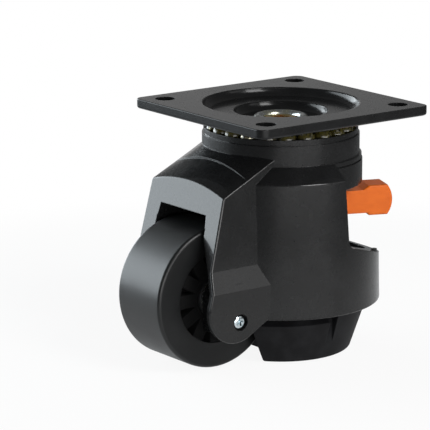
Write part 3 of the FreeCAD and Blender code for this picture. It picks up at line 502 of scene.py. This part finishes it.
@dataclass(frozen=True)
class PlainSteel:
    """Bare steel with a fine ground grain."""

    name: str
    light: Colour = (0.52, 0.52, 0.53)
    dark: Colour = (0.33, 0.33, 0.34)
    grain_size: float = 0.5
    grain_stretch: Stretch = (1.0, 1.0, 9.0)
    grain_depth: float = 0.015
    grain_strength: float = 0.4
    edge: float = 0.1
    stain_size: float = 4.0
    rough: float = 0.25
    rough_spread: float = 0.2

    def material(self) -> bpy.types.Material:
        """Build the steel.

        Returns:
            The finished material.
        """
        shop = Shop(self.name)
        grain = shop.noise(self.grain_size, 4.0, self.grain_stretch)
        stain = shop.noise(self.stain_size, 3.0)
        colour = shop.blend(grain.above(0.35, 0.65), self.dark, self.light)
        normal = shop.bump(grain, self.grain_depth, self.grain_strength, self.edge)
        rough = self.rough + self.rough_spread * stain
        return shop.shade(Base_Color=colour, Roughness=rough, Metallic=1.0, Normal=normal)


@dataclass(frozen=True)
class RolledNylon:
    """Black nylon: turned tread, moulded sides, a soft sheen, and painted shade darkening the side recess."""

    name: str
    deep: Colour = (0.0040, 0.0042, 0.0044)
    worn: Colour = (0.0100, 0.0108, 0.0110)
    # Painted shade: the near-black colour given to the wheel's side recess, darker than the nylon itself.
    recess_shade: Colour = (0.0015, 0.0015, 0.0016)
    pit_radius: float = 15.7
    hub_y: float = -36.3
    hub_z: float = -61.4
    pit_blend: float = 0.4
    rough: float = 0.34
    pit_rough: float = 0.5
    cloud_size: float = 7.0
    stipple: float = 0.35
    line_size: float = 0.45
    line_stretch: Stretch = (6.0, 0.4, 0.4)
    scuff_size: float = 1.4
    scuff_stretch: Stretch = (0.5, 1.6, 1.6)
    grain_depth: float = 0.02
    grain_strength: float = 0.3
    edge: float = 0.4
    sheen_level: float = 0.2
    tread_radius: float = 24.0
    tread_blend: float = 0.6
    tread_polish: float = 0.35
    polish_rough: float = 0.3

    def material(self) -> bpy.types.Material:
        """Build the nylon.

        Returns:
            The finished material.
        """
        shop = Shop(self.name)
        cloud = shop.noise(self.cloud_size, 4.0)
        grain = shop.noise(self.stipple, 3.0)
        lines = shop.noise(self.line_size, 2.0, self.line_stretch)
        scuff = shop.noise(self.scuff_size, 5.0, self.scuff_stretch).above(0.58, 0.75)
        out = ((shop.axis("Y") - self.hub_y) ** 2.0 + (shop.axis("Z") - self.hub_z) ** 2.0) ** 0.5
        open_side = out.above(self.pit_radius - self.pit_blend, self.pit_radius)
        face = shop.blend(0.55 * cloud + 0.35 * scuff, self.deep, self.worn)
        # Painted shade: within pit_radius of the hub the recess takes the near-black shade colour in place of
        # the nylon's own tone.
        colour = shop.blend(open_side, self.recess_shade, face)
        rough = self.rough + 0.10 * cloud + 0.06 * lines - 0.05 * scuff + self.pit_rough * (1.0 - open_side)
        normal = shop.bump(grain + 0.5 * lines, self.grain_depth, self.grain_strength, self.edge)
        tread = out.above(self.tread_radius - self.tread_blend, self.tread_radius)
        return shop.shade(
            Base_Color=colour,
            Roughness=rough,
            Normal=normal,
            Specular_IOR_Level=self.sheen_level,
            Coat_Weight=self.tread_polish * tread,
            Coat_Roughness=self.polish_rough,
        )


@dataclass(frozen=True)
class Rubber:
    """Matte black rubber with a fine stipple and a pale bloom."""

    name: str
    deep: Colour = (0.0042, 0.0043, 0.0050)
    bloom: Colour = (0.0095, 0.0097, 0.0108)
    cloud_size: float = 6.0
    stipple_size: float = 0.45
    stipple_depth: float = 0.03
    stipple_strength: float = 0.35
    edge: float = 0.35
    rough: float = 0.52
    rough_spread: float = 0.16
    sheen_level: float = 0.14

    def material(self) -> bpy.types.Material:
        """Build the rubber.

        Returns:
            The finished material.
        """
        shop = Shop(self.name)
        cloud = shop.noise(self.cloud_size, 5.0)
        stipple = shop.cells(self.stipple_size)
        colour = shop.blend(cloud.above(0.35, 0.75), self.deep, self.bloom)
        normal = shop.bump(stipple, self.stipple_depth, self.stipple_strength, self.edge)
        rough = self.rough + self.rough_spread * cloud
        return shop.shade(
            Base_Color=colour, Roughness=rough, Normal=normal, Specular_IOR_Level=self.sheen_level
        )


@dataclass(frozen=True)
class MouldedPlastic:
    """Opaque moulded plastic with a fine grain and slight flow marks."""

    name: str
    light: Colour
    dark: Colour
    rough: float = 0.34
    rough_spread: float = 0.12
    flow_size: float = 6.0
    flow_stretch: Stretch = (1.0, 1.0, 2.5)
    grain_size: float = 0.3
    grain_depth: float = 0.02
    grain_strength: float = 0.3
    edge: float = 0.35
    sheen_level: float = 0.28

    def material(self) -> bpy.types.Material:
        """Build the plastic.

        Returns:
            The finished material.
        """
        shop = Shop(self.name)
        flow = shop.noise(self.flow_size, 3.0, self.flow_stretch)
        grain = shop.noise(self.grain_size, 2.0)
        colour = shop.blend(flow.above(0.3, 0.7), self.dark, self.light)
        normal = shop.bump(grain, self.grain_depth, self.grain_strength, self.edge)
        rough = self.rough + self.rough_spread * flow
        return shop.shade(
            Base_Color=colour, Roughness=rough, Normal=normal, Specular_IOR_Level=self.sheen_level
        )


class Part(Enum):
    """Finishes of the castor, by the solids that carry them."""

    PLATE = (
        ("top_plate",),
        SatinPaint("plate_paint", rough_low=0.2, rough_high=0.24, edge=0.25, coat=0.15, peel_depth=0.006),
    )
    CASTING = (("swivel_body",), SatinPaint("casting_paint"))
    ZINC = (
        ("king_rivet", "lower_race", "left_wheel_washer", "right_wheel_washer", "axle", "cover_screws",
         "retaining_plate", "retaining_screws", "foot_plate"),
        ZincPlate("zinc_plate"),
    )
    BALLS = (("upper_balls", "lower_balls"), GreasedSteel("greased_balls"))
    STEEL = (
        ("ratchet_nut", "pawl", "pawl_pin", "detent_plunger", "detent_spring"),
        PlainSteel("ground_steel"),
    )
    WHEEL = (("wheel", "selector"), RolledNylon("wheel_nylon"))
    BEARING = (
        ("left_wheel_bush", "right_wheel_bush", "upper_thrust_washer"),
        MouldedPlastic("bearing_plastic", (0.020, 0.020, 0.021), (0.011, 0.011, 0.012), 0.4),
    )
    LEVER = (
        ("lever", "lever_cover"),
        MouldedPlastic("lever_plastic", (0.61, 0.120, 0.007), (0.555, 0.101, 0.005), sheen_level=0.2),
    )
    FOOT = (("foot_pad",), Rubber("pad_rubber"))

    @property
    def nodes(self) -> tuple[str, ...]:
        """Names of the solids that carry this finish.

        Returns:
            The names of their nodes.
        """
        return self.value[0]

    def material(self) -> bpy.types.Material:
        """Build this finish.

        Returns:
            The finished material.
        """
        return self.value[1].material()


# Modelling by hand

def only(*objects: bpy.types.Object) -> None:
    """Select these objects and nothing else; the last one is active.

    Args:
        objects: What to select.
    """
    bpy.ops.object.select_all(action="DESELECT")
    for item in objects:
        item.select_set(True)
        bpy.context.view_layer.objects.active = item


def lying_at(axis: int, level: float) -> Callable[[Any], bool]:
    """Make a test for faces that lie in one flat plane.

    Args:
        axis: 0, 1 or 2 for a plane across X, Y or Z.
        level: The plane's place on that axis, in metres.

    Returns:
        The test, which takes a face.
    """
    return lambda face: all(abs(vertex.co[axis] - level) < TOUCH for vertex in face.verts)


def pick(obj: bpy.types.Object, test: Callable[[Any], bool], kind: str = "edges") -> None:
    """In edit mode, select the parts of a mesh that pass a test.

    Args:
        obj: The object in edit mode.
        test: Says whether one edge, face or vertex is wanted.
        kind: edges, faces or verts.
    """
    mesh = bmesh.from_edit_mesh(obj.data)
    for group in (mesh.verts, mesh.edges, mesh.faces):
        for item in group:
            item.select = False
    for item in getattr(mesh, kind):
        if test(item):
            item.select_set(True)
    bmesh.update_edit_mesh(obj.data)


def settle(obj: bpy.types.Object) -> None:
    """Put an object's place into its mesh.

    Args:
        obj: The object to settle.
    """
    only(obj)
    bpy.ops.object.transform_apply(location=True, rotation=True, scale=True)


def outward(obj: bpy.types.Object) -> None:
    """Merge doubles and turn all faces outwards.

    Args:
        obj: The object to mend.
    """
    only(obj)
    bpy.ops.object.mode_set(mode="EDIT")
    bpy.ops.mesh.select_all(action="SELECT")
    bpy.ops.mesh.remove_doubles(threshold=TOUCH)
    bpy.ops.mesh.normals_make_consistent(inside=False)
    bpy.ops.object.mode_set(mode="OBJECT")


def cut(body: bpy.types.Object, tool: bpy.types.Object, operation: str = "DIFFERENCE") -> None:
    """Apply one Boolean and remove the tool.

    Args:
        body: What is cut.
        tool: What cuts it.
        operation: DIFFERENCE or UNION.
    """
    only(body)
    step = body.modifiers.new("cut", "BOOLEAN")
    step.operation = operation
    step.solver = "EXACT"
    step.object = tool
    bpy.ops.object.modifier_apply(modifier=step.name)
    bpy.data.objects.remove(tool)


@dataclass
class FootScrew:
    """The foot's threaded spindle, with its thread, hexagon socket and riveted end."""

    crest: float = 5.99
    root: float = 5.15
    pitch: float = 2.0
    top: float = -5.4
    bottom: float = -69.2
    tail_radius: float = 4.59
    head_radius: float = 5.79
    tail_bottom: float = -71.7
    head_rim: float = 0.7
    head_crown: float = 0.49
    crown_share: float = 0.8
    socket_flats: float = 6.0
    socket_depth: float = 5.0
    socket_cone: float = 1.2
    root_flat: float = 0.12
    flank: float = 0.72
    run_out: float = 0.3
    end_share: float = 0.3
    smooth_angle: float = 40.0
    sides: int = 56
    cuts: int = 79
    spans: int = 4

    def thread_radius(self, x: float, y: float, z: float) -> float:
        """Radius of the thread's flank at a place on the spindle.

        Args:
            x: Place across the castor, in millimetres.
            y: Place along the castor, in millimetres.
            z: Height, in millimetres.

        Returns:
            The radius in millimetres.
        """
        turn = (z / self.pitch - math.atan2(y, x) / math.tau) % 1.0
        wave = abs(2.0 * turn - 1.0)
        share = min(1.0, max(0.0, (wave - self.root_flat) / self.flank))
        from_end = min(1.0, (self.top - z) / self.pitch, (z - self.bottom) / self.pitch)
        return self.root + (self.crest - self.root) * (share if from_end > self.run_out else self.end_share)

    def shank(self) -> bpy.types.Object:
        """Model the threaded shank.

        Returns:
            The shank as an object.
        """
        length = (self.top - self.bottom) * MM
        span = length / self.spans
        bpy.ops.object.select_all(action="DESELECT")
        bpy.ops.mesh.primitive_cylinder_add(
            vertices=self.sides, radius=self.crest * MM, depth=span, end_fill_type="NGON",
            location=(0, 0, self.bottom * MM + span / 2),
        )
        obj = bpy.context.object
        settle(obj)
        for index in range(1, self.spans):
            bpy.ops.object.mode_set(mode="EDIT")
            level = self.bottom * MM + span * index
            pick(obj, lying_at(2, level), "faces")
            bpy.ops.mesh.extrude_region_move(TRANSFORM_OT_translate={"value": (0, 0, span)})
            bpy.ops.object.mode_set(mode="OBJECT")
        bpy.ops.object.mode_set(mode="EDIT")
        pick(obj, lambda edge: abs(edge.verts[0].co.z - edge.verts[1].co.z) > span / 2)
        bpy.ops.mesh.subdivide(number_cuts=self.cuts)
        bpy.ops.object.mode_set(mode="OBJECT")
        for vertex in obj.data.vertices:
            x, y, z = (c / MM for c in vertex.co)
            radius = self.thread_radius(x, y, z)
            across = math.hypot(x, y)
            vertex.co.x *= radius / across
            vertex.co.y *= radius / across
        return obj

    def socket(self) -> bpy.types.Object:
        """Model the hexagon socket's cutter.

        Returns:
            The cutter as an object.
        """
        bpy.ops.object.select_all(action="DESELECT")
        bpy.ops.mesh.primitive_cylinder_add(
            vertices=6, radius=self.socket_flats / math.sqrt(3) * MM, depth=2 * self.socket_depth * MM,
            location=(0, 0, self.top * MM),
        )
        tool = bpy.context.object
        settle(tool)
        only(tool)
        bpy.ops.object.mode_set(mode="EDIT")
        pick(tool, lying_at(2, (self.top - self.socket_depth) * MM), "faces")
        bpy.ops.mesh.extrude_region_move(TRANSFORM_OT_translate={"value": (0, 0, -self.socket_cone * MM)})
        bpy.ops.mesh.merge(type="CENTER")
        bpy.ops.object.mode_set(mode="OBJECT")
        return tool

    def tail(self) -> bpy.types.Object:
        """Model the neck and the riveted end below the shank.

        Returns:
            The tail as an object.
        """
        bpy.ops.object.select_all(action="DESELECT")
        bpy.ops.mesh.primitive_cylinder_add(
            vertices=self.sides, radius=self.tail_radius * MM, depth=(self.bottom - self.tail_bottom) * MM,
            location=(0, 0, (self.bottom + self.tail_bottom) / 2 * MM),
        )
        obj = bpy.context.object
        settle(obj)
        only(obj)
        bpy.ops.object.mode_set(mode="EDIT")
        low = self.tail_bottom * MM
        pick(obj, lying_at(2, low), "faces")
        wide = self.head_radius / self.tail_radius
        bpy.ops.mesh.extrude_region_move(TRANSFORM_OT_translate={"value": (0, 0, 0)})
        bpy.ops.transform.resize(value=(wide, wide, 1), center_override=(0, 0, low))
        bpy.ops.mesh.extrude_region_move(TRANSFORM_OT_translate={"value": (0, 0, -self.head_rim * MM)})
        bpy.ops.mesh.extrude_region_move(TRANSFORM_OT_translate={"value": (0, 0, -self.head_crown * MM)})
        bpy.ops.transform.resize(value=(self.crown_share, self.crown_share, 1), center_override=(0, 0, low))
        bpy.ops.object.mode_set(mode="OBJECT")
        return obj

    def build(self) -> list[bpy.types.Object]:
        """Model the spindle and place it on the foot.

        Returns:
            The finished pieces.
        """
        body = self.shank()
        cut(body, self.socket())
        body.name = "threaded_spindle"
        outward(body)
        end = self.tail()
        end.name = "spindle_end"
        outward(end)
        finish = YellowZinc("yellow_zinc").material()
        for obj in (body, end):
            only(obj)
            bpy.ops.object.shade_smooth_by_angle(angle=math.radians(self.smooth_angle))
            dress(obj, finish)
            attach(obj, "foot")
            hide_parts("foot_spindle")
        return [body, end]


@dataclass
class LockScrews:
    """The two pan-head screws with cross recesses in the ears."""

    y: float = -36.3
    z: float = -67.6
    head_low_x: float = 22.8
    head_radius: float = 2.34
    head_height: float = 1.75
    dome: float = 0.55
    dome_steps: int = 5
    dome_narrowing: float = 0.55
    shank_radius: float = 1.49
    point_x: float = 14.4
    point_room: float = 1.0
    point_length: float = 0.99
    point_share: float = 0.4
    blade_width: float = 0.62
    blade_reach: float = 1.5
    blade_over: float = 0.2
    reach_taper: float = 0.35
    width_taper: float = 0.8
    recess_depth: float = 1.1
    cross_turn: float = 20.0
    smooth_angle: float = 38.0

    def head(self) -> bpy.types.Object:
        """Model the domed head on the right-hand side.

        Returns:
            The head as an object.
        """
        straight = self.head_height - self.dome
        bpy.ops.object.select_all(action="DESELECT")
        bpy.ops.mesh.primitive_cylinder_add(
            vertices=64, radius=self.head_radius * MM, depth=straight * MM,
            location=((self.head_low_x + straight / 2) * MM, self.y * MM, self.z * MM),
            rotation=(0, math.pi / 2, 0),
        )
        obj = bpy.context.object
        settle(obj)
        centre = Vector((0, self.y * MM, self.z * MM))
        reached = (self.head_low_x + straight) * MM
        size = 1.0
        for index in range(1, self.dome_steps + 1):
            angle = math.pi / 2 * index / (self.dome_steps + 1)
            only(obj)
            bpy.ops.object.mode_set(mode="EDIT")
            pick(obj, lying_at(0, reached), "faces")
            target = (self.head_low_x + straight + self.dome * math.sin(angle)) * MM
            bpy.ops.mesh.extrude_region_move(TRANSFORM_OT_translate={"value": (target - reached, 0, 0)})
            wanted = 1.0 - self.dome_narrowing * (1.0 - math.cos(angle))
            factor = wanted / size
            bpy.ops.transform.resize(value=(1, factor, factor), center_override=centre)
            bpy.ops.object.mode_set(mode="OBJECT")
            reached, size = target, wanted
        return obj

    def blade(self, turn: float) -> bpy.types.Object:
        """Model one tapered blade of the cross.

        Args:
            turn: Angle about the screw, in radians.

        Returns:
            The blade as an object.
        """
        out_x = self.head_low_x + self.head_height + self.blade_over
        in_x = self.head_low_x + self.head_height - self.recess_depth
        bpy.ops.object.select_all(action="DESELECT")
        bpy.ops.mesh.primitive_cube_add(
            size=1.0, location=((out_x + in_x) / 2 * MM, self.y * MM, self.z * MM),
            scale=((out_x - in_x) * MM, self.blade_width * MM, 2 * self.blade_reach * MM),
        )
        obj = bpy.context.object
        settle(obj)
        only(obj)
        bpy.ops.object.mode_set(mode="EDIT")
        pick(obj, lying_at(0, in_x * MM), "faces")
        centre = Vector((0, self.y * MM, self.z * MM))
        bpy.ops.transform.resize(value=(1, self.width_taper, self.reach_taper), center_override=centre)
        bpy.ops.object.mode_set(mode="OBJECT")
        for vertex in obj.data.vertices:
            offset = vertex.co - centre
            vertex.co = centre + Matrix.Rotation(turn, 3, "X") @ offset
        return obj

    def shank(self) -> bpy.types.Object:
        """Model the shank and its cone point.

        Returns:
            The shank as an object.
        """
        length = self.head_low_x - self.point_x - self.point_room
        bpy.ops.object.select_all(action="DESELECT")
        bpy.ops.mesh.primitive_cylinder_add(
            vertices=32, radius=self.shank_radius * MM, depth=length * MM,
            location=((self.head_low_x - length / 2) * MM, self.y * MM, self.z * MM),
            rotation=(0, math.pi / 2, 0),
        )
        obj = bpy.context.object
        settle(obj)
        only(obj)
        bpy.ops.object.mode_set(mode="EDIT")
        centre = Vector((0, self.y * MM, self.z * MM))
        pick(obj, lying_at(0, (self.head_low_x - length) * MM), "faces")
        bpy.ops.mesh.extrude_region_move(TRANSFORM_OT_translate={"value": (-self.point_length * MM, 0, 0)})
        bpy.ops.transform.resize(value=(1, self.point_share, self.point_share), center_override=centre)
        bpy.ops.object.mode_set(mode="OBJECT")
        return obj

    def build(self) -> list[bpy.types.Object]:
        """Model the right-hand screw and copy it to the left.

        Returns:
            The finished pieces.
        """
        body = self.head()
        for quarter in (0.0, 90.0):
            cut(body, self.blade(math.radians(self.cross_turn + quarter)))
        cut(body, self.shank(), "UNION")
        body.name = "right_lock_screw"
        outward(body)
        other = body.copy()
        other.data = body.data.copy()
        other.name = "left_lock_screw"
        bpy.context.scene.collection.objects.link(other)
        other.data.transform(Matrix.Scale(-1, 4, (1, 0, 0)))
        outward(other)
        finish = ZincPlate(
            "screw_zinc", bright=(0.68, 0.74, 0.77), dull=(0.42, 0.49, 0.52), tint=(0.36, 0.52, 0.58),
            rough_low=0.12, rough_high=0.24,
        ).material()
        for obj in (body, other):
            only(obj)
            bpy.ops.object.shade_smooth_by_angle(angle=math.radians(self.smooth_angle))
            dress(obj, finish)
            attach(obj, "swivel")
            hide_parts("axle_lock_screws")
        return [body, other]


def dress(obj: bpy.types.Object, material: bpy.types.Material) -> None:
    """Give an object one material and nothing else.

    Args:
        obj: The object.
        material: Its finish.
    """
    obj.data.materials.clear()
    obj.data.materials.append(material)
    for face in obj.data.polygons:
        face.material_index = 0


def dress_solids() -> None:
    """Give every carried-over solid its finish."""
    for part in Part:
        material = part.material()
        for name in part.nodes:
            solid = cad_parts[name]
            for slot in solid.material_slots:
                slot.material = material
            log.info("dressed %s with %s", name, material.name)


# Studio

@dataclass(frozen=True)
class Lamp:
    """One soft area lamp that looks at the castor."""

    name: str
    bearing: float
    height: float
    distance: float
    wide: float
    tall: float
    power: float
    colour: Colour = (1.0, 1.0, 1.0)

    def hang(self, target: Vector) -> bpy.types.Object:
        """Hang the lamp.

        Args:
            target: The point that it faces.

        Returns:
            The lamp.
        """
        data = bpy.data.lights.new(self.name, "AREA")
        data.shape = "RECTANGLE"
        data.size = self.wide
        data.size_y = self.tall
        data.energy = self.power
        data.color = self.colour
        lamp = bpy.data.objects.new(self.name, data)
        bpy.context.scene.collection.objects.link(lamp)
        bearing, height = math.radians(self.bearing), math.radians(self.height)
        level = math.cos(height)
        way = Vector((math.sin(bearing) * level, -math.cos(bearing) * level, math.sin(height)))
        lamp.location = target + way * self.distance
        lamp.rotation_euler = way.to_track_quat("Z", "Y").to_euler()
        return lamp


@dataclass
class Studio:
    """Pale floor, a dim room that the camera sees as white, soft lamps and the camera."""

    floor_z: float = -0.0866
    floor_radius: float = 2.5
    floor_white: float = 0.9
    floor_fade: tuple[float, float] = (9000.0, 60000.0)
    floor_dull: Colour = (0.86, 0.86, 0.86)
    floor_pale: Colour = (0.90, 0.90, 0.90)
    floor_far: Colour = (0.2, 0.2, 0.2)
    floor_cloud: float = 60.0
    floor_rough: float = 0.7
    floor_mirror: float = 0.3
    room_glow: float = 0.12
    backdrop_glow: float = 1.0
    backdrop_bearing: float = 255.0
    backdrop_edge: tuple[float, float] = (0.78, 0.97)
    backdrop_height: tuple[float, float] = (0.0, 0.34)
    lamps: tuple[Lamp, ...] = (
        Lamp("left_box", -64.0, 8.0, 0.75, 1.0, 0.55, 11.5, (0.87, 0.95, 1.0)),
        Lamp("key_box", 98.0, 38.0, 1.0, 0.4, 0.4, 6.5),
        Lamp("side_card", 80.0, 3.0, 0.6, 0.8, 0.16, 2.4),
        Lamp("right_card", 129.0, 21.0, 0.9, 0.3, 0.25, 0.35),
    )
    eye: tuple[float, float, float] = (0.72514, -0.56802, 0.17705)
    yaw: float = 53.34655
    pitch: float = 13.27204
    roll: float = -0.13219
    lens: float = 227.363
    sensor: float = 36.0
    clip: tuple[float, float] = (0.05, 20.0)
    aim: tuple[float, float, float] = (0.0, -0.01, -0.045)

    def floor(self) -> bpy.types.Object:
        """Lay the floor, a wide flat disc.

        Returns:
            The floor.
        """
        bpy.ops.object.select_all(action="DESELECT")
        bpy.ops.mesh.primitive_circle_add(vertices=96, radius=self.floor_radius, fill_type="NGON",
                                          location=(0, 0, self.floor_z))
        obj = bpy.context.object
        obj.name = "floor"
        settle(obj)
        shop = Shop("pale_floor")
        cloud = shop.noise(self.floor_cloud, 3.0)
        pale = shop.blend(cloud, self.floor_dull, self.floor_pale)
        around = (shop.axis("X") ** 2.0 + shop.axis("Y") ** 2.0).above(*self.floor_fade)
        shop.shade(Base_Color=shop.blend(around, pale, self.floor_far), Roughness=self.floor_rough)
        white = shop.node("ShaderNodeEmission", {}, {"Color": (1.0, 1.0, 1.0, 1.0), "Strength": 1.0})
        near = self.floor_mirror * shop.path("Is Glossy Ray") * (1.0 - around)
        share = shop.path("Is Camera Ray") * (self.floor_white + (1.0 - self.floor_white) * around) + near
        mix = shop.node("ShaderNodeMixShader", {}, {0: share, 1: shop.shader.outputs[0], 2: white.outputs[0]})
        shop.feed(shop.output.inputs[0], mix.outputs[0])
        dress(obj, shop.material)
        return obj

    def surroundings(self) -> None:
        """Put a dim room with one bright side round the castor. The camera itself sees plain white."""
        world = bpy.data.worlds.new("studio")
        bpy.context.scene.world = world
        bench = Bench(world)
        way = bench.node("ShaderNodeTexCoord", {}, {}).outputs["Generated"]
        split = bench.node("ShaderNodeSeparateXYZ", {}, {0: way})
        across, along, up = (Field(bench, split.outputs[name]) for name in "XYZ")
        bearing = math.radians(self.backdrop_bearing)
        behind = (math.sin(bearing) * across - math.cos(bearing) * along).above(*self.backdrop_edge)
        backdrop = behind * (1.0 - up.above(*self.backdrop_height))
        room = self.room_glow + (self.backdrop_glow - self.room_glow) * backdrop
        seen = bench.path("Is Camera Ray")
        strength = room + (1.0 - room) * seen
        glow = bench.node("ShaderNodeBackground", {}, {"Color": (1.0, 1.0, 1.0, 1.0), "Strength": strength})
        bench.node("ShaderNodeOutputWorld", {}, {"Surface": glow.outputs[0]})

    def camera(self) -> bpy.types.Object:
        """Set the camera at the photograph's angle.

        Returns:
            The camera.
        """
        data = bpy.data.cameras.new("camera")
        data.sensor_width = self.sensor
        data.lens = self.lens
        data.clip_start, data.clip_end = self.clip
        obj = bpy.data.objects.new("camera", data)
        bpy.context.scene.collection.objects.link(obj)
        obj.location = self.eye
        facing = Euler((math.radians(90.0 - self.pitch), 0.0, math.radians(self.yaw))).to_matrix()
        turn = Matrix.Rotation(math.radians(self.roll), 3, "Z")
        obj.rotation_euler = (facing @ turn).to_euler()
        bpy.context.scene.camera = obj
        return obj

    def build(self) -> None:
        """Set up the whole studio."""
        self.floor()
        self.surroundings()
        self.camera()
        target = Vector(self.aim)
        for lamp in self.lamps:
            lamp.hang(target)
            log.info("hung %s", lamp.name)
        bpy.context.scene.view_settings.view_transform = "Standard"


def main() -> None:
    """Dress the solids, add the detailed pieces and set up the studio."""
    logging.basicConfig(level=logging.INFO, format="%(message)s")
    dress_solids()
    for sub_assembly in (FootScrew(), LockScrews()):
        for piece in sub_assembly.build():
            log.info("built %s with %d faces", piece.name, len(piece.data.polygons))
    Studio().build()


if __name__ == "__main__":
    main()
